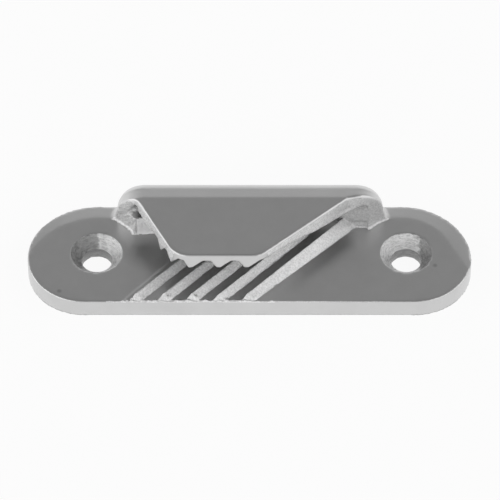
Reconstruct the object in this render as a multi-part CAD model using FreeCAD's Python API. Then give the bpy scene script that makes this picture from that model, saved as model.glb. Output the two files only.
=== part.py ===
import FreeCAD, Part
import math
import os

# Side-entry jam cleat for light line, cast in one piece: a base plate with two
# countersunk holes, and a hood that overhangs it and forms a toothed jaw.
# Millimetres. X runs along the base, Y from the open side (-) to the rear wall (+),
# Z up from the underside. A "depth" is measured back from the open front edge.

# Base plate: crown level at the front, its climb to the rear, the bevelled rear border.
LENGTH = 64.5
FRONT_END_R = 8.5
REAR_END_R = 10.2
WIDTH = FRONT_END_R + REAR_END_R
FRONT_THICKNESS = 3.05
DRAFT = 1.4
BEVEL_DEPTH = 16.0
BEVEL_SLOPE = 12.7
BEVEL_LEFT_R = 10.9
BEVEL_LEFT_SHIFT = 0.45
BEVEL_TAIL_TURN = 62.0
EDGE_R = 0.3

# Countersunk screw holes.
HOLE_SPACING = 45.0
HOLE_SHIFT = 0.28
HOLE_DEPTH = 9.15
HOLE_D = 4.45
SINK_D = 7.55
SINK_ANGLE = 90.0

# Hood, seen from the front: shoulders, and feet that flare out onto the plate.
HOOD_HEIGHT = 10.2
HOOD_LEFT = 19.3
HOOD_RIGHT = 19.5
HOOD_CORNER_R = 4.2
HOOD_FOOT_R = 1.6
FOOT_REACH = 1.1 * HOOD_FOOT_R
FOOT_SINK = 0.05
HOOD_ROOT_Z = 1.4

# Hood, seen from the end: parting line, bevel behind it, rounding down to the rear face.
HOOD_PARTING = 13.9
HOOD_BEVEL = 12.0
HOOD_REAR_R = 3.55
HOOD_REAR_STEP = 0.1
HOOD_END_ROUND = 1.2
REAR_STATIONS = 5

# Hood, seen from above: slanted left side, straight lip, diagonal right side.
LIP_DEPTH = 2.93
LIP_LEFT_X = -10.65
LIP_LEFT_R = 3.5
LIP_RIGHT_X = 1.55
LIP_RIGHT_R = 3.0
SIDE_DRAFT = 10.0
RIM_R = 0.42
RIM_BASE_Z = 5.2
SKIN_GAP = 0.0005
FOOT_FILLET = 0.35

# From the end of a slanted side each end of the hood runs on through points at its rim
# and at its foot, which keeps clear of the screw head. Points are (inset from the
# hood's end, depth).
LEFT_SIDE_END = (3.6, 12.5)
LEFT_RIM = [(2.75, 13.65), (1.6, 14.2), (0.2, 14.85), (-3.6, 16.8)]
LEFT_FOOT = [(2.3, 13.2), (1.4, 14.25), (0.45, 15.09), (-1.05, 16.0), (-3.6, 16.8)]
RIGHT_SIDE_END = (5.6, 13.55)
RIGHT_RIM = [(4.0, 14.2), (2.1, 14.78), (0.3, 15.5), (-3.6, 16.9)]
RIGHT_FOOT = [(3.6, 12.9), (2.0, 14.0), (1.2, 14.65), (-0.2, 15.55), (-1.25, 16.0), (-3.6, 16.8)]

# Jaw space: roof of the upper jaw between its teeth, and the wall behind the line.
LIP_THICKNESS = 0.95
UPPER_FALL = 0.06
WALL_LEFT_X = -16.7
WALL_LEFT_DEPTH = 12.85
WALL_DEEP_X = 12.3
WALL_DEEP_DEPTH = 15.05
WALL_RIGHT_X = 15.5
WALL_RIGHT_DEPTH = 14.1
WALL_LEAN = 6.5
WALL_TURN_R = 6.0
WALL_BEND_R = 1.2
WALL_ROOF_R = 1.0
RECESS_X = 17.2
RECESS_DEPTH = 14.02

# Teeth. "Across" runs square to the ribs, to the front right.
RIB_ANGLE = 45.0
RIB_PITCH = 2.857
RIBS = 5
RIB_LAST = -0.85
RIB_FRONT_Z = 3.9
RIB_RISE = 0.055
RIB_DROP = 0.8
RIB_CREST = 0.08
RIB_FLANK_SLOPE = 0.70
RIB_BACK_LEAN = 0.12
RIB_END_Z = 2.72
RIB_END_LEAN = 36.0
UPPER_TEETH = 6
UPPER_FIRST = 0.73
UPPER_DROP = 1.5
UPPER_OUTER_DROP = 0.62
UPPER_OUTER_FLAT = 0.5
UPPER_TIP_R = 0.35
UPPER_STEEP = 0.9
UPPER_GENTLE = 1.22
POCKET_ACROSS = -21.1
POCKET_FLOOR_Z = 6.6
POCKET_APEX_Z = 9.4
POCKET_HALF = 1.5
POCKET_REAR_DEPTH = 14.5

TALL = 2 * HOOD_HEIGHT


def depth(value):
    """Y of a point that lies so far behind the open front edge."""
    return value - WIDTH / 2


def vec(x, y, z):
    return FreeCAD.Vector(x, y, z)


def tan(degrees):
    return math.tan(math.radians(degrees))


def crown_height(y):
    return FRONT_THICKNESS + (y - depth(0)) * tan(DRAFT)


def plate_top(y):
    """Level of the plate's upper face: the crown, then the bevel behind it."""
    ridge = depth(BEVEL_DEPTH)
    if y <= ridge:
        return crown_height(y)
    return crown_height(ridge) - (y - ridge) * tan(BEVEL_SLOPE - DRAFT)


def rounded_edges(corners, place):
    """Closed outline of straight sides whose corners (a, b, radius) are rounded."""
    rounds = []
    count = len(corners)
    for i in range(count):
        before = corners[i - 1]
        here = corners[i]
        after = corners[(i + 1) % count]
        ux, uy = before[0] - here[0], before[1] - here[1]
        wx, wy = after[0] - here[0], after[1] - here[1]
        un, wn = math.hypot(ux, uy), math.hypot(wx, wy)
        ux, uy, wx, wy = ux / un, uy / un, wx / wn, wy / wn
        radius = here[2]
        half = math.acos(max(-1.0, min(1.0, ux * wx + uy * wy))) / 2
        back = radius / math.tan(half)
        bx, by = ux + wx, uy + wy
        bn = math.hypot(bx, by)
        mid = radius / math.sin(half) - radius
        rounds.append((
            place(here[0] + ux * back, here[1] + uy * back),
            place(here[0] + bx / bn * mid, here[1] + by / bn * mid),
            place(here[0] + wx * back, here[1] + wy * back),
        ))
    edges = []
    for i in range(count):
        start, mid, end = rounds[i]
        if corners[i][2] > 0:
            edges.append(Part.Arc(start, mid, end).toShape())
        edges.append(Part.makeLine(end, rounds[(i + 1) % count][0]))
    return edges


def rounded_face(corners, place):
    return Part.Face(Part.Wire(rounded_edges(corners, place)))


def spread(corners, outward):
    """The same outline with every side moved outwards; corners run anticlockwise."""
    count = len(corners)
    sides = []
    for i in range(count):
        ax, ay = corners[i][0], corners[i][1]
        bx, by = corners[(i + 1) % count][0], corners[(i + 1) % count][1]
        run = math.hypot(bx - ax, by - ay)
        nx, ny = (by - ay) / run, (ax - bx) / run
        sides.append((nx, ny, nx * ax + ny * ay + outward))
    moved = []
    for i in range(count):
        px, py, pd = sides[i - 1]
        qx, qy, qd = sides[i]
        turn = px * qy - py * qx
        radius = corners[i][2]
        if radius > 0:
            radius += math.copysign(outward, outward * turn)
        moved.append(((pd * qy - qd * py) / turn, (px * qd - qx * pd) / turn, radius))
    return moved


def side_profile(points):
    """Prism the full length of the cleat, from its outline (y, z) seen from the end."""
    wire = Part.makePolygon([vec(-LENGTH, y, z) for y, z in points + points[:1]])
    return Part.Face(wire).extrude(vec(2 * LENGTH, 0, 0))


def end_outline():
    """Outline of the plate: straight front and rear, two tangent arcs at each end."""
    half = LENGTH / 2
    middle = depth(FRONT_END_R)
    diag = math.sqrt(0.5)
    edges = []
    for side in (-1, 1):
        tip = vec(side * half, middle, 0)
        centre_f = vec(side * (half - FRONT_END_R), middle, 0)
        centre_r = vec(side * (half - REAR_END_R), middle, 0)
        edges.append(Part.Arc(
            centre_f + vec(0, -FRONT_END_R, 0),
            centre_f + vec(side * FRONT_END_R * diag, -FRONT_END_R * diag, 0), tip).toShape())
        edges.append(Part.Arc(
            tip, centre_r + vec(side * REAR_END_R * diag, REAR_END_R * diag, 0),
            centre_r + vec(0, REAR_END_R, 0)).toShape())
    for y, radius in ((depth(0), FRONT_END_R), (depth(WIDTH), REAR_END_R)):
        edges.append(Part.makeLine(vec(radius - half, y, 0), vec(half - radius, y, 0)))
    return Part.Face(Part.Wire(Part.__sortEdges__(edges)))


def bevel_wire(spreading, z):
    """Outline of the plate's crown, moved outwards by 'spreading'."""
    left_c = vec(BEVEL_LEFT_R - BEVEL_LEFT_SHIFT - LENGTH / 2,
                 depth(BEVEL_DEPTH) - BEVEL_LEFT_R, z)
    left_r = BEVEL_LEFT_R + spreading
    right_c = vec(LENGTH / 2 - REAR_END_R, depth(FRONT_END_R), z)
    right_r = BEVEL_DEPTH - FRONT_END_R + spreading
    turn = math.radians(90 - BEVEL_TAIL_TURN)
    halfway = (turn + math.pi / 2) / 2
    diag = math.sqrt(0.5)
    rear_left = left_c + vec(0, left_r, 0)
    rear_right = right_c + vec(0, right_r, 0)
    left_tip = left_c + vec(-left_r, 0, 0)
    tail = right_c + vec(right_r * math.cos(turn), right_r * math.sin(turn), 0)
    tail_end = tail + vec(math.sin(turn), -math.cos(turn), 0) * LENGTH
    front_left = vec(left_tip.x, tail_end.y, z)
    return Part.Wire([
        Part.Arc(left_tip, left_c + vec(-left_r * diag, left_r * diag, 0), rear_left).toShape(),
        Part.makeLine(rear_left, rear_right),
        Part.Arc(rear_right,
                 right_c + vec(math.cos(halfway), math.sin(halfway), 0) * right_r,
                 tail).toShape(),
        Part.makeLine(tail, tail_end),
        Part.makeLine(tail_end, front_left),
        Part.makeLine(front_left, left_tip),
    ])


def tilted(shape):
    """Lean a shape with the crown, about the plate's front edge."""
    shape.rotate(vec(0, depth(0), FRONT_THICKNESS), vec(1, 0, 0), DRAFT)
    return shape


def base_plate():
    """Flat underside, crown climbing to the rear, bevelled rear border, eased edge."""
    slab = end_outline().extrude(vec(0, 0, 2 * FRONT_THICKNESS))
    low = 2 * FRONT_THICKNESS
    crown = Part.makeLoft([bevel_wire(low / tan(BEVEL_SLOPE), FRONT_THICKNESS - low),
                           bevel_wire(0, FRONT_THICKNESS)], True, True)
    plate = slab.common(tilted(crown))
    front = [e for e in plate.Edges
             if e.BoundBox.ZMin > FRONT_THICKNESS - FOOT_SINK
             and e.BoundBox.YMax < depth(FRONT_END_R / 2)]
    return plate.makeFillet(EDGE_R, front)


def screw_holes():
    """Through holes with their countersinks, as one cutting shape."""
    cutters = []
    for side in (-1, 1):
        x = HOLE_SHIFT + side * HOLE_SPACING / 2
        y = depth(HOLE_DEPTH)
        sink_depth = (SINK_D - HOLE_D) / 2 / tan(SINK_ANGLE / 2)
        drill = Part.makeCylinder(HOLE_D / 2, TALL, vec(x, y, -HOOD_HEIGHT))
        sink = Part.makeCone(HOLE_D / 2, SINK_D / 2 + sink_depth * tan(SINK_ANGLE / 2),
                             2 * sink_depth, vec(x, y, crown_height(y) - sink_depth))
        cutters.append(drill.fuse(sink))
    return cutters[0].fuse(cutters[1])


def hood_section(y, top, inset):
    """Outline of the hood across the line, with flared feet, at one Y."""
    left = inset - HOOD_LEFT
    right = HOOD_RIGHT - inset
    foot = plate_top(y) - FOOT_SINK
    shoulder = min(HOOD_CORNER_R - inset, top - foot - HOOD_FOOT_R - EDGE_R)
    return rounded_face([
        (left - FOOT_REACH, HOOD_ROOT_Z, 0),
        (left - FOOT_REACH, foot, 0),
        (left, foot, HOOD_FOOT_R),
        (left, top, shoulder),
        (right, top, shoulder),
        (right, foot, HOOD_FOOT_R),
        (right + FOOT_REACH, foot, 0),
        (right + FOOT_REACH, HOOD_ROOT_Z, 0),
    ], lambda a, b: vec(a, y, b))


def hood_mass():
    """Hood before it is cut back: level top to the parting line, bevel, rounded rear."""
    parting = depth(HOOD_PARTING)
    bevel = math.radians(HOOD_BEVEL)
    crown = hood_section(parting, HOOD_HEIGHT, 0)
    front = crown.extrude(vec(0, -HOOD_PARTING, -HOOD_PARTING * tan(DRAFT)))
    centre_y = depth(WIDTH - HOOD_REAR_STEP) - HOOD_REAR_R
    centre_z = (HOOD_HEIGHT - (centre_y - parting) * math.tan(bevel)
                - HOOD_REAR_R / math.cos(bevel))
    stations = []
    for i in range(REAR_STATIONS + 1):
        turn = bevel + (math.pi / 2 - bevel) * i / REAR_STATIONS
        stations.append(hood_section(centre_y + HOOD_REAR_R * math.sin(turn),
                                     centre_z + HOOD_REAR_R * math.cos(turn),
                                     HOOD_END_ROUND * (1 - math.cos(turn))).OuterWire)
    slope = Part.makeLoft([crown.OuterWire, stations[0]], True, True)
    rear = Part.makeLoft(stations, True, False)
    return front.fuse([slope, rear]).removeSplitter()


def smooth_curve(points, first, last):
    """Smooth curve through points, leaving and arriving in the given directions."""
    curve = Part.BSplineCurve()
    curve.interpolate(Points=points, InitialTangent=first, FinalTangent=last)
    return curve.toShape()


def hood_plan(z, left_end, right_end, reach):
    """Outline of the hood from above at height z, spread by reach. Its three front
    sides also spread downwards by their draft, and each end runs on from them in one
    smooth curve."""
    near = reach * math.sqrt(0.5)
    left_x = LEFT_SIDE_END[0] - HOOD_LEFT
    right_x = HOOD_RIGHT - RIGHT_SIDE_END[0]
    sides = spread([
        (left_x, depth(LEFT_SIDE_END[1]), 0),
        (LIP_LEFT_X, depth(LIP_DEPTH), LIP_LEFT_R),
        (LIP_RIGHT_X, depth(LIP_DEPTH), LIP_RIGHT_R),
        (right_x, depth(RIGHT_SIDE_END[1]), 0),
        (LENGTH, depth(RIGHT_SIDE_END[1]), 0),
        (LENGTH, depth(2 * WIDTH), 0),
        (-LENGTH, depth(2 * WIDTH), 0),
        (-LENGTH, depth(LEFT_SIDE_END[1]), 0),
    ], (HOOD_HEIGHT + RIM_R - z) * tan(SIDE_DRAFT) + reach)[:4]
    edges = rounded_edges(sides, lambda a, b: vec(a, b, z))[:-1]
    a, b, c, d = [vec(x, y, z) for x, y, radius in sides]
    right = [d] + [vec(HOOD_RIGHT - inset + near, depth(back - near), z)
                   for inset, back in right_end]
    left = [vec(inset - HOOD_LEFT - near, depth(back - near), z)
            for inset, back in left_end[::-1]] + [a]
    rear = [right[-1], vec(right[-1].x, depth(2 * WIDTH), z),
            vec(left[0].x, depth(2 * WIDTH), z), left[0]]
    edges.append(smooth_curve(right, d - c, right[-1] - right[-2]))
    edges += [Part.makeLine(p, q) for p, q in zip(rear, rear[1:])]
    edges.append(smooth_curve(left, left[1] - left[0], b - a))
    return Part.Wire(edges)


def hood_block():
    """Hood cut to its plan, with its foot eased onto the plate and its rim rounded."""
    mass = hood_mass()
    floor = crown_height(depth(HOOD_PARTING))
    ease = [(HOOD_ROOT_Z, FOOT_FILLET), (floor, FOOT_FILLET),
            (floor + FOOT_FILLET / 3, FOOT_FILLET / 3), (floor + FOOT_FILLET, 0)]
    wires = [hood_plan(z, LEFT_FOOT, RIGHT_FOOT, reach) for z, reach in ease]
    wires.append(hood_plan(HOOD_HEIGHT + RIM_R, LEFT_RIM, RIGHT_RIM, 0))
    plan = Part.makeLoft(wires, True, True)
    block = mass.common(plan)
    under = Part.makeBox(2 * LENGTH, 2 * LENGTH, RIM_BASE_Z, vec(-LENGTH, -LENGTH, 0))
    upper = block.cut(under)
    edges = [e for e in upper.Edges if on_skin(e, mass) and on_skin(e, plan)]
    return upper.makeFillet(RIM_R, edges).fuse(block.common(under))


def on_skin(edge, solid):
    """True where the middle of an edge lies on the surface of a solid."""
    first, last = edge.ParameterRange
    middle = Part.Vertex(edge.valueAt((first + last) / 2))
    return solid.Shells[0].distToShape(middle)[0] < SKIN_GAP


def upper_level(y):
    """Height of the upper jaw between its teeth."""
    lip_top = HOOD_HEIGHT - (HOOD_PARTING - LIP_DEPTH) * tan(DRAFT)
    return lip_top - LIP_THICKNESS - UPPER_FALL * (y - depth(LIP_DEPTH))


def along_ribs(corners, level, rise):
    """Prism along the ribs from its rounded outline (across, over the jaw surface).

    level is the surface's height at the front edge, rise its climb per mm of depth."""
    turn = math.radians(RIB_ANGLE)
    along = vec(math.cos(turn), math.sin(turn), rise * math.sin(turn)).normalize()
    up = vec(0, -rise, 1).normalize()
    side = along.cross(up)
    start = vec(0, depth(0), level) - along * LENGTH
    face = rounded_face(corners, lambda a, b: start + side * a + up * b)
    return face.extrude(along * (2 * LENGTH))


def lower_jaw():
    """Raised pad of diagonal ribs: each falls away gently to the front right and
    drops steeply to the rear left, so the line can be pulled one way only."""
    first = RIB_LAST - (RIBS - 1) * RIB_PITCH
    root = FRONT_THICKNESS - HOOD_ROOT_Z
    corners = [(first, 0, 0), (first, -root, 0),
               (RIB_LAST + RIB_CREST + root / RIB_FLANK_SLOPE, -root, 0)]
    for i in range(RIBS):
        crest = RIB_LAST - i * RIB_PITCH
        corners.append((crest + RIB_CREST, 0, 0))
        if i < RIBS - 1:
            corners.append((crest, 0, 0))
            corners.append((crest - RIB_BACK_LEAN, -RIB_DROP, 0))
            corners.append((crest - RIB_PITCH + RIB_CREST + RIB_DROP / RIB_FLANK_SLOPE,
                            -RIB_DROP, 0))
    pad = along_ribs(corners, RIB_FRONT_Z, RIB_RISE)
    back = depth(WALL_DEEP_DEPTH + WALL_ROOF_R)
    lean = (HOOD_HEIGHT - RIB_END_Z) * tan(RIB_END_LEAN)
    room = side_profile([(depth(0), HOOD_ROOT_Z), (depth(0), RIB_END_Z),
                         (depth(lean), HOOD_HEIGHT), (back, HOOD_HEIGHT),
                         (back, HOOD_ROOT_Z)])
    return pad.common(room)


def upper_teeth():
    """Teeth that hang from the hood, parallel to the ribs, over the grooves. The
    outermost runs along the hood's right side and is cut short and flat."""
    teeth = []
    for i in range(UPPER_TEETH):
        middle = UPPER_FIRST - i * RIB_PITCH
        tip = [(middle, -UPPER_DROP, UPPER_TIP_R)]
        if i == 0:
            tip = [(middle - UPPER_OUTER_FLAT, -UPPER_OUTER_DROP, UPPER_TIP_R),
                   (middle, -UPPER_OUTER_DROP, UPPER_TIP_R)]
        root = [(middle + UPPER_GENTLE, 0, 0), (middle + UPPER_GENTLE, UPPER_DROP, 0),
                (middle - UPPER_STEEP, UPPER_DROP, 0), (middle - UPPER_STEEP, 0, 0)]
        teeth.append(along_ribs(tip + root, upper_level(depth(0)), -UPPER_FALL))
    return teeth


def wall_plan(z):
    """Outline of the jaw space from above at height z. Its wall leans back, by half as
    much behind the ribs as in the recess at its right end."""
    back = (z - FRONT_THICKNESS) * tan(WALL_LEAN)
    slope = (WALL_DEEP_DEPTH - WALL_LEFT_DEPTH) / (WALL_DEEP_X - WALL_LEFT_X)
    far = LENGTH / 2
    return Part.Wire(rounded_edges([
        (-far, depth(-WIDTH), 0),
        (RECESS_X, depth(-WIDTH), 0),
        (RECESS_X, depth(RECESS_DEPTH) + back, 0),
        (WALL_RIGHT_X, depth(WALL_RIGHT_DEPTH) + back, WALL_BEND_R),
        (WALL_DEEP_X, depth(WALL_DEEP_DEPTH) + back / 2, WALL_TURN_R),
        (-far, depth(WALL_LEFT_DEPTH - (far + WALL_LEFT_X) * slope), 0),
    ], lambda a, b: vec(a, b, z)))


def jaw_space():
    """Room between plate and hood, minus the upper teeth, with a square end on the
    right and the pocket that the teeth leave in the left end of the wall."""
    plan = Part.makeLoft([wall_plan(0), wall_plan(HOOD_HEIGHT)], True, True)
    floor = FOOT_SINK / 2
    front, back = depth(-WIDTH), depth(WIDTH)
    room = plan.common(side_profile([
        (front, crown_height(front) - floor), (back, crown_height(back) - floor),
        (back, upper_level(back)), (front, upper_level(front))]))
    room = room.makeFillet(WALL_ROOF_R, [
        e for e in room.Edges
        if e.BoundBox.ZMin > POCKET_FLOOR_Z
        and (e.BoundBox.YMin > depth(0) or e.BoundBox.XMin > WALL_DEEP_X)])
    room = room.makeFillet(FOOT_FILLET, [
        e for e in room.Edges
        if e.BoundBox.YMin > depth(0) and e.BoundBox.ZMax < RIM_BASE_Z])
    pocket = along_ribs([
        (POCKET_ACROSS - POCKET_HALF, POCKET_FLOOR_Z, 0),
        (POCKET_ACROSS + POCKET_HALF, POCKET_FLOOR_Z, 0),
        (POCKET_ACROSS, POCKET_APEX_Z, UPPER_TIP_R),
    ], 0, 0)
    pocket = pocket.common(side_profile([
        (depth(LIP_DEPTH), POCKET_FLOOR_Z), (depth(POCKET_REAR_DEPTH), POCKET_FLOOR_Z),
        (depth(POCKET_REAR_DEPTH), HOOD_HEIGHT), (depth(LIP_DEPTH), HOOD_HEIGHT)]))
    return room.cut(upper_teeth()).fuse(pocket)


def cleat():
    hood = hood_block().cut(jaw_space())
    whole = base_plate().fuse([hood, lower_jaw()]).cut(screw_holes())
    return whole.removeSplitter()


os.makedirs("parts", exist_ok=True)
body = cleat()
body.exportStep("parts/cleat_body.step")
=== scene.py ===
import math

import bmesh
import bpy
import numpy as np
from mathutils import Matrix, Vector, noise
from mathutils.bvhtree import BVHTree


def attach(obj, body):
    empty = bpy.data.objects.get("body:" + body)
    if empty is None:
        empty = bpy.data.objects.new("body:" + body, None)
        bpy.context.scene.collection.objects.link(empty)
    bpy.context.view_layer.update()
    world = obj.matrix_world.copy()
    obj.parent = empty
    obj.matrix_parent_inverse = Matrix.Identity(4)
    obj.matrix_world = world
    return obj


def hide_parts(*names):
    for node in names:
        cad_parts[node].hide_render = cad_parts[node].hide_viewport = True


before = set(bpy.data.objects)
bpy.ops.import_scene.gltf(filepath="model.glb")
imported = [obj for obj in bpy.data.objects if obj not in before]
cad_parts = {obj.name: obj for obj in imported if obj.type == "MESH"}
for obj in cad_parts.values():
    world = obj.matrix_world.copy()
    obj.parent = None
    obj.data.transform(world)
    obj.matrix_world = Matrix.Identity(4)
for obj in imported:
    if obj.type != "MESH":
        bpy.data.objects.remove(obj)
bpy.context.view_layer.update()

# Side-entry jam cleat, die cast in aluminium and tumbled. The CAD solid gives the form;
# here its edges are broken as tumbling breaks them, and its three finishes are laid on.
# Lengths are in millimetres, as on the maker's drawing, and MM turns them to metres.
# X runs along the cleat from left to right, Z goes up, and back is the depth in Y from
# the plate's front edge.
MM = 0.001

# Places on the part: heights in z, depths behind the front edge, and x of the jaw's ends.
FRONT_EDGE_Y = -9.35
UNDERSIDE = 0.05
PLATE_TOP = 3.6
JAW_FLOOR = PLATE_TOP - 0.9
SKIN_FLOOR = PLATE_TOP - 0.7
RIB_TOP = 4.9
HOOD_LOW = 6.0
HOOD_RIM = 8.5
LIP_BACK = 3.6
END_WALL_BACK = 15.0
JAW_LEFT_X = -20.6
JAW_RIGHT_X = 20.8
JAW_FRONT = 0.02
JAW_BACK = 16.9
HOLES = ((-22.22, -0.2), (22.78, -0.2))
SINK_R = 3.775
SINK_SLACK = 0.02
SINK_FLOOR = 1.72

# Points nearer than this are one point, and faces that turn less, in degrees, one face.
SAME_POINT = 0.0005
SAME_FACE_TURN = 0.2
# The surface is divided on a grid, twice as fine in the jaw, and slivers are merged.
GRID = 0.43
ON_PLANE = 0.001
SLIVER = 0.02
CLOSING_ROUNDS = 5

# Rounds of tumbling, and how far a point gives way in each: at edges, at the hood's rim,
# which is round already, and at the holes, which are cut after the tumbling.
WEAR_ROUNDS = 2
WEAR = 0.5
RIM_WEAR = 0.1
HOLE_WEAR = 0.12
HOLE_BORDER = 0.5
HOLE_HEIGHTS = (0.5, 4.5)
RIM_STRIP = 1.0
SHORT_EDGE = 0.03
# The shallow creases beside broad upper faces are worn wider: turn in degrees, smallest
# area beside them in square millimetres, reach in grid cells.
CREASE_MARK = "crease_mark"
CREASE_TURNS = (3.0, 28.0)
CREASE_FACE = 8.0
CREASE_REACH = 3
CREASE_ROUNDS = 5
# Where the die itself was eased: ranges in x, back and z, and rounds of smoothing.
SOFT_ZONES = (((-16.3, -11.0), (11.6, 14.2), (3.0, 6.6), 40),
              ((-18.6, -14.0), (11.8, 16.0), (4.8, 9.2), 40),
              ((-13.8, -10.5), (2.8, 7.6), (6.0, 8.5), 24),
              ((14.6, 18.4), (12.0, 16.0), (2.9, 8.8), 12))
ZONE_FADE = 0.5

# Grain that the die leaves in the jaw, (size, height), and how much is left of it to the
# right of an x.
GRAINS = ((0.9, 0.03), (0.36, 0.03))
SMOOTHER_X = 4.0
SMOOTHER = 0.35
# Flow bands across the right recess, with their waves per millimetre in x and z.
BAND_X = (12.8, 17.4)
BAND_FLOOR = 3.9
BAND_WAVES = (0.3, 1.7)
BAND_SLICE = 7.0
BAND_HEIGHT = 0.09
# Streaks that fan out from the left pocket: waves per radian and per millimetre outwards.
STREAK_CENTRE = (-16.4, 7.2)
STREAK_RIGHT = 1.0
STREAK_START = 0.3
STREAK_REACH = 4.5
STREAK_FADES = (0.6, 1.5)
STREAK_WAVES = (9.0, 0.8)
STREAK_HEIGHT = 0.12
# Torn burrs where the ribs were trimmed at the front edge: place, size, height and way.
BURR_X = (-18.8, 3.6)
BURR_REACH = 1.0
BURR_FADE = 0.2
BURR_SIZE = 0.6
BURR_HEIGHT = 0.7
BURR_WAY = (-0.4, 0.0, 0.9)
# Witness line of a die insert beside the first rib: its ends (x, y), width and height.
WITNESS = ((-18.1, -9.35), (-11.3, -1.85), 0.34, 0.14)
WITNESS_START = -0.5
WITNESS_FADE = 3.0

# How open a point of the jaw is: the share of the ways out that meet nothing within
# OPEN_REACH; the less open a point, the more painted shade the as-cast colour gets there.
# The ways are rings of rays, (rise, spread, number of rays).
OPENNESS = "openness"
OPEN_REACH = 5.0
OPEN_START = 0.05
OPEN_GRAZING = 0.15
OPEN_RINGS = ((0.15, 1.0, 10), (0.6, 0.8, 8), (0.9, 0.4, 5), (-0.3, 0.9, 8))
# Where the skin is frosty and scatters light like chalk: the wall at the jaw's left end.
# Its near-white colour is partly painted light, for the light that falls on this open end.
FROST_AND_PAINTED_LIGHT = "frost_and_painted_light"
FROST_AND_LIGHT_X = (-16.5, -10.5)
FROST_AND_LIGHT_BACK = (12.0, 14.4)
FROST_AND_LIGHT_Z = (3.4, 6.4)

# The finishes, in the order of their material slots.
TUMBLED, AS_CAST, CUT = range(3)
# Ways that faces look, as parts of their normals: level, on the plate, on a countersink,
# up on the hood's rim, down on the jaw's roof, and towards the front.
LEVEL = 0.9
PLATE_RISE = 0.8
SINK_RISE = 0.95
RIM_RISE = 0.3
ROOF_FALL = -0.3
FRONT_FACING = -0.15
# Dark marks on the plate, (x, y, z), radii from full to gone, depth of colour: two pits,
# and painted shade along the foot of the hood's left side, where the plate lies in the
# hood's shade and reflects its dark underside.
PITS_AND_PAINTED_SHADE = (((26.92, -2.48, 3.32), 0.15, 0.45, 0.3), ((-27.5, -7.3, 3.12), 0.15, 0.45, 0.3),
         ((-14.5, 1.3, 3.5), 0.5, 5.0, 0.5))
# The countersinks' greys across both holes from left to right, and the x between them,
# as painted shade and painted light: dark on the left hole's outer side, light on its
# inner side, light on the right hole's inner side and dark on its outer side, where the
# hood blocks the light that the outer walls reflect.
SINK_BORDERS = (-22.0, 0.0, 24.7)
SINK_LIT_AND_SHADED_GREYS = ("#B8B8B8", "#FCFCFC", "#F4F4F4", "#BEBEBE")
BORE_GREY = "#A0A0A0"

# A Mix node's colour sockets, whose names are also those of its other sockets.
COLOUR_A, COLOUR_B, MIXED = 6, 7, 2

# The photograph's view: 48.3 degrees above the deck, square on, from 700 mm.
VIEW_TARGET = (0.07, 0.67, 3.05)
VIEW_ELEVATION = 48.3
VIEW_DISTANCE = 700.0
PIXELS_PER_MM = 6.87
FRAME_PIXELS = 500
SENSOR = 36.0

# The light tent: (height as a sine, brightness) of each side of it, and where one side
# gives way to the next, as the share of a direction that points to that side.
TENT_FRONT = ((0.0, 1.0), (0.35, 1.0), (0.6, 0.7), (0.8, 0.4), (1.0, 0.24))
TENT_REAR = ((0.0, 0.98), (0.25, 0.77), (0.43, 0.51), (0.747, 0.365), (1.0, 0.26))
TENT_RIGHT = ((0.0, 1.0), (0.3, 1.3), (0.72, 1.5), (0.82, 0.4), (1.0, 0.24))
TENT_LEFT = ((0.0, 1.2), (0.15, 1.85), (0.5, 1.75), (0.66, 0.45), (1.0, 0.24))
REAR_TURN = (0.15, 0.6)
SIDE_TURN = (0.2, 0.6)
TENT_STRENGTH = 2.0
# The white table: its size in metres, how much of it is even white to the camera and in
# the metal, and how bright it is in the metal.
TABLE_SIZE = 4.0
PAPER_SHARE = 0.92
PAPER_IN_METAL = 1.1


def linear(code):
    """An sRGB hex colour as the linear values that a shader takes."""
    values = [int(code[i:i + 2], 16) / 255 for i in (1, 3, 5)]
    return tuple(v / 12.92 if v <= 0.04045 else ((v + 0.055) / 1.055) ** 2.4
                 for v in values) + (1.0,)


def per(size_mm):
    """Noise scale that gives features of about this size on Object coordinates."""
    return 1.0 / (size_mm * MM)


def add(tree, kind, inputs=None, **settings):
    """Adds a node: settings are its properties, inputs its values or incoming sockets."""
    node = tree.nodes.new(kind)
    for name, value in settings.items():
        setattr(node, name, value)
    for name, value in (inputs or {}).items():
        if isinstance(value, bpy.types.NodeSocket):
            tree.links.new(value, node.inputs[name])
        else:
            node.inputs[name].default_value = value
    return node


def new_material(name):
    """A material with no nodes yet, and its node tree."""
    material = bpy.data.materials.new(name)
    material.use_nodes = True
    material.node_tree.nodes.clear()
    return material, material.node_tree


def speckled(tree, place, light, dark, size_mm, spread):
    """Cast metal is never one even grey: two close greys in soft patches."""
    patches = add(tree, "ShaderNodeTexNoise",
                  {"Vector": place, "Scale": per(size_mm), "Detail": 3.0, "Roughness": 0.6})
    level = add(tree, "ShaderNodeMapRange",
                {"Value": patches.outputs["Fac"], "From Min": 0.5 - spread,
                 "From Max": 0.5 + spread})
    mix = add(tree, "ShaderNodeMix",
              {"Factor": level.outputs["Result"], COLOUR_A: linear(dark),
               COLOUR_B: linear(light)}, data_type="RGBA")
    return mix.outputs[MIXED]


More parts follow.
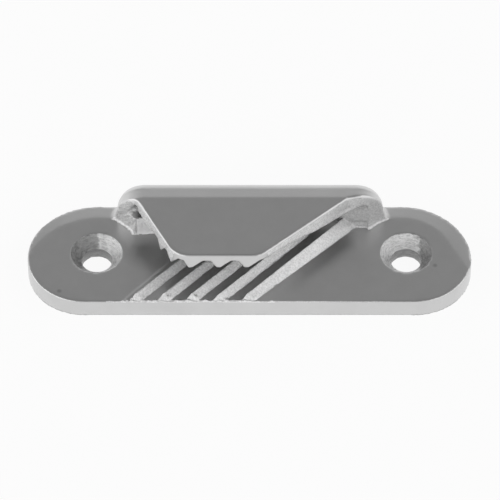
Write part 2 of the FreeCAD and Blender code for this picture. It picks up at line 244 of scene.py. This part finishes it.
def tumbled_aluminium():
    """Die-cast aluminium, tumbled with ceramic chips and left grey.

    The tumbling rounds the grain off, so broad faces are even and matt, with faint
    patches a few millimetres across and a grain of about 0.2 mm that only breaks up
    the reflections."""
    material, tree = new_material("tumbled_cast_aluminium")
    place = add(tree, "ShaderNodeTexCoord").outputs["Object"]
    colour = speckled(tree, place, "#C9C9C9", "#C4C4C4", 3.0, 0.25)
    # Two of these marks are pits; the last is painted shade beside the hood's left side.
    for centre, full, gone, depth in PITS_AND_PAINTED_SHADE:
        away = add(tree, "ShaderNodeVectorMath",
                   {0: place, 1: [value * MM for value in centre]}, operation="DISTANCE")
        mark = add(tree, "ShaderNodeMapRange",
                   {"Value": away.outputs["Value"], "From Min": full * MM,
                    "From Max": gone * MM, "To Min": depth, "To Max": 0.0})
        mix = add(tree, "ShaderNodeMix",
                  {"Factor": mark.outputs["Result"], COLOUR_A: colour,
                   COLOUR_B: linear("#3A3A3A")}, data_type="RGBA")
        colour = mix.outputs[MIXED]
    grain = add(tree, "ShaderNodeTexNoise",
                {"Vector": place, "Scale": per(0.22), "Detail": 2.0})
    rough = add(tree, "ShaderNodeMapRange",
                {"Value": grain.outputs["Fac"], "To Min": 0.27, "To Max": 0.37})
    bump = add(tree, "ShaderNodeBump",
               {"Height": grain.outputs["Fac"], "Strength": 0.25, "Distance": 0.01 * MM})
    shader = add(tree, "ShaderNodeBsdfPrincipled",
                 {"Base Color": colour, "Metallic": 1.0,
                  "Roughness": rough.outputs["Result"], "Normal": bump.outputs["Normal"]})
    add(tree, "ShaderNodeOutputMaterial", {"Surface": shader.outputs["BSDF"]})
    return material


def as_cast_colour(tree, place):
    """The as-cast skin's colour, with painted shade and light on it: grey in the depths of
    the jaw as painted shade, near white where frosty, which is partly painted light on the
    open wall at the jaw's left end, and darker towards the right end as painted shade
    under the hood."""
    skin = speckled(tree, place, "#F0F0F0", "#D2D2D2", 0.25, 0.15)
    # Painted shade: the as-cast colour goes grey where the jaw is least open.
    open_share = add(tree, "ShaderNodeAttribute", attribute_name=OPENNESS)
    depth = add(tree, "ShaderNodeMapRange",
                {"Value": open_share.outputs["Fac"], "From Min": 0.15, "From Max": 0.6})
    jaw_painted_shade = add(tree, "ShaderNodeMix",
                 {"Factor": depth.outputs["Result"], COLOUR_A: linear("#8E8E8E"),
                  COLOUR_B: skin}, data_type="RGBA")
    frost_and_painted_light = add(tree, "ShaderNodeAttribute", attribute_name=FROST_AND_PAINTED_LIGHT)
    # Partly painted light: the frosty wall at the jaw's left end is made near white.
    chalk_and_painted_light = add(tree, "ShaderNodeMix",
                {"Factor": frost_and_painted_light.outputs["Fac"], COLOUR_A: jaw_painted_shade.outputs[MIXED],
                 COLOUR_B: linear("#FAFAFA")}, data_type="RGBA")
    part = add(tree, "ShaderNodeSeparateXYZ", {"Vector": place})
    # Painted shade: the skin gets darker from x 10 to 13 mm onwards, under the hood's right
    # end.
    right_painted_shade = add(tree, "ShaderNodeMapRange",
                 {"Value": part.outputs["X"], "From Min": 10.0 * MM, "From Max": 13.0 * MM,
                  "To Min": 1.0, "To Max": 0.8})
    right_shaded = add(tree, "ShaderNodeVectorMath",
                {0: chalk_and_painted_light.outputs[MIXED], "Scale": right_painted_shade.outputs["Result"]},
                operation="SCALE")
    return right_shaded.outputs["Vector"]


def pocket_streaks(tree, part):
    """Fine streaks that fan out round the jaw's left pocket, none right of x -15.5."""
    from_x = add(tree, "ShaderNodeMath",
                 {0: part.outputs["X"], 1: STREAK_CENTRE[0] * MM}, operation="SUBTRACT")
    from_z = add(tree, "ShaderNodeMath",
                 {0: part.outputs["Z"], 1: STREAK_CENTRE[1] * MM}, operation="SUBTRACT")
    turn = add(tree, "ShaderNodeMath",
               {0: from_z.outputs["Value"], 1: from_x.outputs["Value"]}, operation="ARCTAN2")
    round_it = add(tree, "ShaderNodeCombineXYZ", {"X": turn.outputs["Value"]})
    fan = add(tree, "ShaderNodeTexNoise",
              {"Vector": round_it.outputs["Vector"], "Scale": 14.0, "Detail": 2.0})
    near = add(tree, "ShaderNodeMapRange",
               {"Value": part.outputs["X"], "From Min": -15.5 * MM, "From Max": -16.5 * MM,
                "To Min": 0.0, "To Max": 1.6})
    streaks = add(tree, "ShaderNodeMath",
                  {0: fan.outputs["Fac"], 1: near.outputs["Result"]}, operation="MULTIPLY")
    return streaks.outputs["Value"]


def as_cast_aluminium():
    """The same casting where the tumbling chips don't reach: jaw, ribs and end walls.

    The die's matt skin is left. It scatters more light than the tumbled faces, sparkles
    in grains of about 0.25 mm, and is smoother towards the right end."""
    material, tree = new_material("as_cast_aluminium")
    place = add(tree, "ShaderNodeTexCoord").outputs["Object"]
    part = add(tree, "ShaderNodeSeparateXYZ", {"Vector": place})
    frost_and_painted_light = add(tree, "ShaderNodeAttribute", attribute_name=FROST_AND_PAINTED_LIGHT)
    metal = add(tree, "ShaderNodeMapRange",
                {"Value": frost_and_painted_light.outputs["Fac"], "To Min": 0.85, "To Max": 0.1})
    grain = add(tree, "ShaderNodeTexNoise",
                {"Vector": place, "Scale": per(0.25), "Detail": 3.0, "Roughness": 0.75})
    relief = add(tree, "ShaderNodeMath",
                 {0: pocket_streaks(tree, part), 1: grain.outputs["Fac"]}, operation="ADD")
    smoother = add(tree, "ShaderNodeMapRange",
                   {"Value": part.outputs["X"], "From Min": 3.0 * MM, "From Max": 13.0 * MM,
                    "To Min": 0.75, "To Max": 0.25})
    bump = add(tree, "ShaderNodeBump",
               {"Height": relief.outputs["Value"], "Strength": smoother.outputs["Result"],
                "Distance": 0.1 * MM})
    rough = add(tree, "ShaderNodeMapRange",
                {"Value": grain.outputs["Fac"], "To Min": 0.4, "To Max": 0.65})
    shader = add(tree, "ShaderNodeBsdfPrincipled",
                 {"Base Color": as_cast_colour(tree, place),
                  "Metallic": metal.outputs["Result"], "Roughness": rough.outputs["Result"],
                  "Normal": bump.outputs["Normal"]})
    add(tree, "ShaderNodeOutputMaterial", {"Surface": shader.outputs["BSDF"]})
    return material


def cut_aluminium():
    """The screw holes: countersinks that a cutter has left with fine rings and some chatter.

    Each countersink is painted darker on its outer side, as painted shade where the hood
    blocks the light that this wall reflects, and lighter on its inner side, as painted
    light; the border between them wavers. The bores are grey."""
    material, tree = new_material("cut_aluminium")
    place = add(tree, "ShaderNodeTexCoord").outputs["Object"]
    part = add(tree, "ShaderNodeSeparateXYZ", {"Vector": place})
    flutter = add(tree, "ShaderNodeTexNoise",
                  {"Vector": place, "Scale": per(0.7), "Detail": 3.0})
    edge = add(tree, "ShaderNodeMath",
               {0: flutter.outputs["Fac"], 1: 1.6 * MM, 2: -0.8 * MM},
               operation="MULTIPLY_ADD")
    shift = add(tree, "ShaderNodeMath", {0: part.outputs["X"], 1: edge.outputs["Value"]},
                operation="ADD")
    # Painted shade and light: each hole's outer wall dark, its inner wall light.
    colour = linear(SINK_LIT_AND_SHADED_GREYS[0])
    for border, grey in zip(SINK_BORDERS, SINK_LIT_AND_SHADED_GREYS[1:]):
        past = add(tree, "ShaderNodeMapRange",
                   {"Value": shift.outputs["Value"], "From Min": (border - 0.2) * MM,
                    "From Max": (border + 0.2) * MM})
        mix = add(tree, "ShaderNodeMix",
                  {"Factor": past.outputs["Result"], COLOUR_A: colour,
                   COLOUR_B: linear(grey)}, data_type="RGBA")
        colour = mix.outputs[MIXED]
    bore = add(tree, "ShaderNodeMapRange",
               {"Value": part.outputs["Z"], "From Min": (SINK_FLOOR - 0.03) * MM,
                "From Max": (SINK_FLOOR + 0.03) * MM, "To Min": 1.0, "To Max": 0.0})
    mix = add(tree, "ShaderNodeMix",
              {"Factor": bore.outputs["Result"], COLOUR_A: colour,
               COLOUR_B: linear(BORE_GREY)}, data_type="RGBA")
    squeezed = add(tree, "ShaderNodeMapping", {"Vector": place, "Scale": (1.0, 1.0, 5.0)})
    rings = add(tree, "ShaderNodeTexNoise",
                {"Vector": squeezed.outputs["Vector"], "Scale": per(0.8), "Detail": 4.0,
                 "Roughness": 0.75})
    shade = add(tree, "ShaderNodeMapRange",
                {"Value": rings.outputs["Fac"], "From Min": 0.35, "From Max": 0.6,
                 "To Min": 0.62, "To Max": 1.0})
    ringed = add(tree, "ShaderNodeVectorMath",
                 {0: mix.outputs[MIXED], "Scale": shade.outputs["Result"]},
                 operation="SCALE")
    bump = add(tree, "ShaderNodeBump",
               {"Height": rings.outputs["Fac"], "Strength": 1.0, "Distance": 0.2 * MM})
    shader = add(tree, "ShaderNodeBsdfPrincipled",
                 {"Base Color": ringed.outputs["Vector"], "Metallic": 1.0, "Roughness": 0.38,
                  "Normal": bump.outputs["Normal"]})
    add(tree, "ShaderNodeOutputMaterial", {"Surface": shader.outputs["BSDF"]})
    return material


def in_jaw(x, y, z):
    """Whether a point lies on the ribs, in the mouth or on the hood over them."""
    back = y - FRONT_EDGE_Y
    return (JAW_LEFT_X < x < JAW_RIGHT_X and JAW_FRONT < back < JAW_BACK
            and z > JAW_FLOOR)


def finish_of(centre, normal):
    """Which finish a face has, from its place in metres and the way it faces."""
    x, y, z = (value / MM for value in centre)
    for hole_x, hole_y in HOLES:
        away = math.hypot(x - hole_x, y - hole_y)
        if (away < SINK_R + SINK_SLACK and UNDERSIDE < z < PLATE_TOP
                and normal.z < SINK_RISE):
            return CUT
    back = y - FRONT_EDGE_Y
    if not JAW_LEFT_X < x < JAW_RIGHT_X or back < JAW_FRONT or z < SKIN_FLOOR:
        return TUMBLED
    if normal.z > LEVEL or back > JAW_BACK:
        return TUMBLED
    if z > HOOD_LOW and back < LIP_BACK or z > HOOD_RIM and normal.z > RIM_RISE:
        return TUMBLED
    if normal.z < ROOF_FALL or normal.y < FRONT_FACING:
        return AS_CAST
    if z < RIB_TOP and abs(normal.z) < LEVEL and back < END_WALL_BACK:
        return AS_CAST
    return TUMBLED


def merged_copy(node):
    """A CAD node's loose triangles as a mesh, and as one closed shell of whole faces."""
    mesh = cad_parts[node].data.copy()
    mesh.name = "casting"
    if "custom_normal" in mesh.attributes:
        mesh.attributes.remove(mesh.attributes["custom_normal"])
    shell = bmesh.new()
    shell.from_mesh(mesh)
    bmesh.ops.remove_doubles(shell, verts=shell.verts, dist=SAME_POINT * MM)
    bmesh.ops.dissolve_degenerate(shell, edges=shell.edges, dist=SAME_POINT * MM)
    bmesh.ops.dissolve_limit(shell, angle_limit=math.radians(SAME_FACE_TURN),
                             verts=shell.verts, edges=shell.edges)
    return mesh, shell


def mark_creases(shell):
    """Marks the shallow creases beside the broad upper faces."""
    mark = shell.edges.layers.int.new(CREASE_MARK)
    for edge in shell.edges:
        if len(edge.link_faces) == 2:
            turn = math.degrees(edge.calc_face_angle())
            level = min(face.normal.z for face in edge.link_faces) > LEVEL
            widest = max(face.calc_area() for face in edge.link_faces) / MM ** 2
            if CREASE_TURNS[0] < turn < CREASE_TURNS[1] and level and widest > CREASE_FACE:
                edge[mark] = 1


def cut_on_grid(shell, geometry, offset):
    """Cuts faces on planes one grid cell apart, in all three directions."""
    for axis in range(3):
        way = Vector([float(i == axis) for i in range(3)])
        places = [part.co[axis] / MM for part in geometry
                  if isinstance(part, bmesh.types.BMVert)]
        first = math.ceil(min(places) / GRID)
        last = math.floor(max(places) / GRID)
        for i in range(first, last + 1):
            geometry = bmesh.ops.bisect_plane(
                shell, geom=geometry, dist=ON_PLANE * MM,
                plane_co=way * ((i + offset) * GRID * MM), plane_no=way)["geom"]


def close_up(shell):
    """Cuts out the flaps that merging leaves, until every edge has just two faces."""
    for _ in range(CLOSING_ROUNDS):
        bmesh.ops.delete(shell, geom=[edge for edge in shell.edges if edge.is_wire],
                         context="EDGES")
        odd = [edge for edge in shell.edges if len(edge.link_faces) != 2]
        if not odd:
            break
        flaps = dict.fromkeys(face for edge in odd for face in edge.link_faces)
        bmesh.ops.delete(shell, geom=list(flaps), context="FACES")
        bmesh.ops.holes_fill(shell, edges=[edge for edge in shell.edges if edge.is_boundary])
    bmesh.ops.recalc_face_normals(shell, faces=shell.faces)


def divide(shell):
    """Cuts the whole surface on the grid, then the jaw's between the first cuts too."""
    cut_on_grid(shell, shell.verts[:] + shell.edges[:] + shell.faces[:], 0.0)
    jaw = [face for face in shell.faces if in_jaw(*(face.calc_center_median() / MM))]
    verts = dict.fromkeys(vert for face in jaw for vert in face.verts)
    edges = dict.fromkeys(edge for face in jaw for edge in face.edges)
    cut_on_grid(shell, list(verts) + list(edges) + jaw, 0.5)
    bmesh.ops.remove_doubles(shell, verts=shell.verts, dist=SLIVER * MM)
    close_up(shell)
    shell.verts.index_update()


def wear_share(place):
    """How far a point gives way in each round of tumbling."""
    x, y, z = place / MM
    at_hole = any(math.hypot(x - a, y - b) < SINK_R + HOLE_BORDER for a, b in HOLES)
    if at_hole and HOLE_HEIGHTS[0] < z < HOLE_HEIGHTS[1]:
        return HOLE_WEAR
    return RIM_WEAR if z > HOOD_LOW and not in_jaw(x, y + RIM_STRIP, z) else WEAR


def smoothed(places, pairs, share, rounds):
    """Wears a surface: every point moves towards its neighbours, by its own share."""
    a, b = pairs[:, 0], pairs[:, 1]
    count = len(places)
    for _ in range(rounds):
        gap = places[b] - places[a]
        pull = 1.0 / np.maximum(np.linalg.norm(gap, axis=1), SHORT_EDGE * MM)
        total = np.bincount(a, pull, count) + np.bincount(b, pull, count)
        move = np.stack([np.bincount(a, gap[:, i] * pull, count)
                         - np.bincount(b, gap[:, i] * pull, count) for i in range(3)], 1)
        places = places + move / total[:, None] * share[:, None]
    return places


def near_creases(shell, pairs):
    """Which points lie on a marked crease or within its reach."""
    mark = shell.edges.layers.int[CREASE_MARK]
    near = np.zeros(len(shell.verts), bool)
    for edge in shell.edges:
        if edge[mark]:
            near[[vert.index for vert in edge.verts]] = True
    for _ in range(CREASE_REACH):
        touched = near[pairs].any(axis=1)
        near[pairs[touched].ravel()] = True
    return near


def wear(shell):
    """Wears the divided surface: its edges, then its creases, then the soft zones."""
    places = np.array([vert.co for vert in shell.verts])
    pairs = np.array([[vert.index for vert in edge.verts] for edge in shell.edges])
    share = np.array([wear_share(vert.co) for vert in shell.verts])
    places = smoothed(places, pairs, share, WEAR_ROUNDS)
    places = smoothed(places, pairs, share * near_creases(shell, pairs), CREASE_ROUNDS)
    back = places[:, 1] / MM - FRONT_EDGE_Y
    for across, depths, heights, rounds in SOFT_ZONES:
        inside = np.ones(len(places))
        for values, (low, high) in ((places[:, 0] / MM, across), (back, depths),
                                    (places[:, 2] / MM, heights)):
            inward = np.minimum(values - low, high - values)
            inside = np.minimum(inside, np.clip(inward / ZONE_FADE, 0.0, 1.0))
        places = smoothed(places, pairs, WEAR * inside, rounds)
    for vert, place in zip(shell.verts, places):
        vert.co = place
    shell.normal_update()


def band_height(x, z):
    """Height of the flow bands across the right recess."""
    if not BAND_X[0] < x < BAND_X[1] or z < BAND_FLOOR:
        return 0.0
    where = Vector((x * BAND_WAVES[0], BAND_SLICE, z * BAND_WAVES[1]))
    return noise.noise(where) * BAND_HEIGHT


def streak_height(x, z):
    """Height of the streaks that fan out from the left pocket."""
    x -= STREAK_CENTRE[0]
    z -= STREAK_CENTRE[1]
    away = math.hypot(x, z)
    if x > STREAK_RIGHT or not STREAK_START < away < STREAK_REACH:
        return 0.0
    fade = (min(1.0, (away - STREAK_START) / STREAK_FADES[0])
            * min(1.0, (STREAK_REACH - away) / STREAK_FADES[1]))
    where = Vector((math.atan2(z, x) * STREAK_WAVES[0], away * STREAK_WAVES[1], 0.0))
    return noise.noise(where) * STREAK_HEIGHT * fade


def grain_height(place):
    """Height of the die's grain, flow bands and streaks at a point of the jaw."""
    height = band_height(place.x, place.z)
    left = 1.0 if place.x < SMOOTHER_X else SMOOTHER
    for size, depth in GRAINS:
        height += noise.noise(place / size) * depth * left
    return height + streak_height(place.x, place.z)


def burr(place):
    """How far a torn burr moves a point at the front ends of the ribs."""
    back = place.y - FRONT_EDGE_Y
    if back > BURR_REACH or place.z > HOOD_LOW or not BURR_X[0] < place.x < BURR_X[1]:
        return Vector()
    lump = max(0.0, noise.noise(Vector((place.x, place.y, 0.0)) / BURR_SIZE))
    fade = min(1.0 - back / BURR_REACH, back / BURR_FADE)
    return Vector(BURR_WAY) * lump * BURR_HEIGHT * fade


def witness_height(place):
    """Height of the thin line that a die insert left beside the first rib."""
    (x0, y0), (x1, y1), width, height = WITNESS
    run = math.hypot(x1 - x0, y1 - y0)
    along = ((place.x - x0) * (x1 - x0) + (place.y - y0) * (y1 - y0)) / run
    across = ((place.x - x0) * (y1 - y0) - (place.y - y0) * (x1 - x0)) / run
    if not WITNESS_START < along < run or abs(across) > width or place.z > PLATE_TOP:
        return 0.0
    return height * (1.0 - abs(across) / width) * min(1.0, (run - along) / WITNESS_FADE)


def lay_relief(shell):
    """Raises the grain and burrs of the as-cast skin, and the witness line beside it."""
    for vert in shell.verts:
        place = vert.co / MM
        if in_jaw(*place):
            if finish_of(vert.co, vert.normal) == AS_CAST:
                vert.co += (vert.normal * grain_height(place) + burr(place)) * MM
            elif vert.normal.z > PLATE_RISE:
                vert.co.z += witness_height(place) * MM


def note_openness(shell):
    """Keeps for each point of the jaw the share of ways out that nothing blocks."""
    turns = [(rise, spread, 2 * math.pi * i / count)
             for rise, spread, count in OPEN_RINGS for i in range(count)]
    rays = [Vector((math.cos(turn) * spread, math.sin(turn) * spread, rise)).normalized()
            for rise, spread, turn in turns]
    tree = BVHTree.FromBMesh(shell)
    layer = shell.verts.layers.float.new(OPENNESS)
    for vert in shell.verts:
        vert[layer] = 1.0
        if in_jaw(*(vert.co / MM)):
            start = vert.co + vert.normal * (OPEN_START * MM)
            ways = [ray for ray in rays if ray.dot(vert.normal) > OPEN_GRAZING]
            free = [way for way in ways
                    if tree.ray_cast(start, way, OPEN_REACH * MM)[0] is None]
            vert[layer] = len(free) / max(1, len(ways))


def note_frost_and_painted_light(shell):
    """Keeps for each point whether the skin is frosty and painted near white there, which is
    partly painted light.
    """
    layer = shell.verts.layers.float.new(FROST_AND_PAINTED_LIGHT)
    for vert in shell.verts:
        x, y, z = vert.co / MM
        vert[layer] = float(FROST_AND_LIGHT_X[0] < x < FROST_AND_LIGHT_X[1] and FROST_AND_LIGHT_Z[0] < z < FROST_AND_LIGHT_Z[1]
                            and FROST_AND_LIGHT_BACK[0] < y - FRONT_EDGE_Y < FROST_AND_LIGHT_BACK[1])


def casting():
    """The one piece: the CAD node's form divided, worn and grained, and its finishes
    laid on face by face."""
    mesh, shell = merged_copy("cleat_body")
    mark_creases(shell)
    divide(shell)
    wear(shell)
    lay_relief(shell)
    note_openness(shell)
    note_frost_and_painted_light(shell)
    for face in shell.faces:
        face.smooth = True
    shell.to_mesh(mesh)
    shell.free()
    mesh.materials.clear()
    for finish in (tumbled_aluminium(), as_cast_aluminium(), cut_aluminium()):
        mesh.materials.append(finish)
    for face in mesh.polygons:
        face.material_index = finish_of(face.center, face.normal)
    piece = bpy.data.objects.new("cleat_casting", mesh)
    bpy.context.collection.objects.link(piece)
    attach(piece, "root")
    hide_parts("cleat_body")


def white_table():
    """A white table under the part. To the camera and in the metal it is white paper,
    and it keeps part of the part's shadow."""
    material, tree = new_material("white_paper")
    seen = add(tree, "ShaderNodeLightPath")
    shiny = add(tree, "ShaderNodeMath",
                {0: seen.outputs["Is Glossy Ray"], 1: seen.outputs["Is Transmission Ray"]},
                operation="MAXIMUM")
    either = add(tree, "ShaderNodeMath",
                 {0: seen.outputs["Is Camera Ray"], 1: shiny.outputs["Value"]},
                 operation="MAXIMUM")
    share = add(tree, "ShaderNodeMath",
                {0: either.outputs["Value"], 1: PAPER_SHARE}, operation="MULTIPLY")
    paper = add(tree, "ShaderNodeBsdfDiffuse", {"Color": linear("#FBFBFB")})
    level = add(tree, "ShaderNodeMapRange",
                {"Value": shiny.outputs["Value"], "To Min": 1.0, "To Max": PAPER_IN_METAL})
    glow = add(tree, "ShaderNodeEmission",
               {"Color": linear("#FFFFFF"), "Strength": level.outputs["Result"]})
    mix = add(tree, "ShaderNodeMixShader",
              {0: share.outputs["Value"], 1: paper.outputs["BSDF"],
               2: glow.outputs["Emission"]})
    add(tree, "ShaderNodeOutputMaterial", {"Surface": mix.outputs["Shader"]})
    bpy.ops.mesh.primitive_plane_add(size=TABLE_SIZE)
    table = bpy.context.object
    table.name = "table"
    table.data.materials.append(material)


def cloth_over(tree, height, stops):
    """One side's brightness from the deck to overhead, joined straight between stops."""
    ramp = add(tree, "ShaderNodeValToRGB", {"Fac": height})
    while len(ramp.color_ramp.elements) < len(stops):
        ramp.color_ramp.elements.new(1.0)
    for element, (position, brightness) in zip(ramp.color_ramp.elements, stops):
        level = brightness / TENT_STRENGTH
        element.position = position
        element.color = (level, level, level, 1.0)
    return ramp.outputs["Color"]


def light_tent():
    """A tent of white cloth, lit most at its two sides and dim overhead."""
    world = bpy.data.worlds.new("light_tent")
    bpy.context.scene.world = world
    world.use_nodes = True
    tree = world.node_tree
    tree.nodes.clear()
    direction = add(tree, "ShaderNodeTexCoord").outputs["Generated"]
    way = add(tree, "ShaderNodeSeparateXYZ", {"Vector": direction})
    leftward = add(tree, "ShaderNodeMath", {0: way.outputs["X"], 1: -1.0},
                   operation="MULTIPLY")
    cloth = cloth_over(tree, way.outputs["Z"], TENT_FRONT)
    for reach, turn, stops in ((way.outputs["X"], SIDE_TURN, TENT_RIGHT),
                               (leftward.outputs["Value"], SIDE_TURN, TENT_LEFT),
                               (way.outputs["Y"], REAR_TURN, TENT_REAR)):
        share = add(tree, "ShaderNodeMapRange",
                    {"Value": reach, "From Min": turn[0], "From Max": turn[1]},
                    interpolation_type="SMOOTHSTEP")
        side = cloth_over(tree, way.outputs["Z"], stops)
        mix = add(tree, "ShaderNodeMix",
                  {"Factor": share.outputs["Result"], COLOUR_A: cloth, COLOUR_B: side},
                  data_type="RGBA")
        cloth = mix.outputs[MIXED]
    tent = add(tree, "ShaderNodeBackground", {"Color": cloth, "Strength": TENT_STRENGTH})
    paper = add(tree, "ShaderNodeBackground", {"Color": linear("#FFFFFF")})
    seen = add(tree, "ShaderNodeLightPath")
    mix = add(tree, "ShaderNodeMixShader",
              {0: seen.outputs["Is Camera Ray"], 1: tent.outputs["Background"],
               2: paper.outputs["Background"]})
    add(tree, "ShaderNodeOutputWorld", {"Surface": mix.outputs["Shader"]})


def camera():
    """The photograph's view, with the lens that gives its pixels per millimetre."""
    rise = math.radians(VIEW_ELEVATION)
    way = Vector((0.0, -math.cos(rise), math.sin(rise)))
    lens = bpy.data.cameras.new("camera")
    lens.sensor_width = SENSOR
    lens.lens = PIXELS_PER_MM * VIEW_DISTANCE * SENSOR / FRAME_PIXELS
    lens.clip_start = 0.01
    lens.clip_end = 20.0
    holder = bpy.data.objects.new("camera", lens)
    holder.location = (Vector(VIEW_TARGET) + way * VIEW_DISTANCE) * MM
    holder.rotation_euler = (-way).to_track_quat("-Z", "Y").to_euler()
    bpy.context.collection.objects.link(holder)
    bpy.context.scene.camera = holder


casting()
white_table()
light_tent()
camera()
bpy.context.scene.view_settings.view_transform = "Standard"
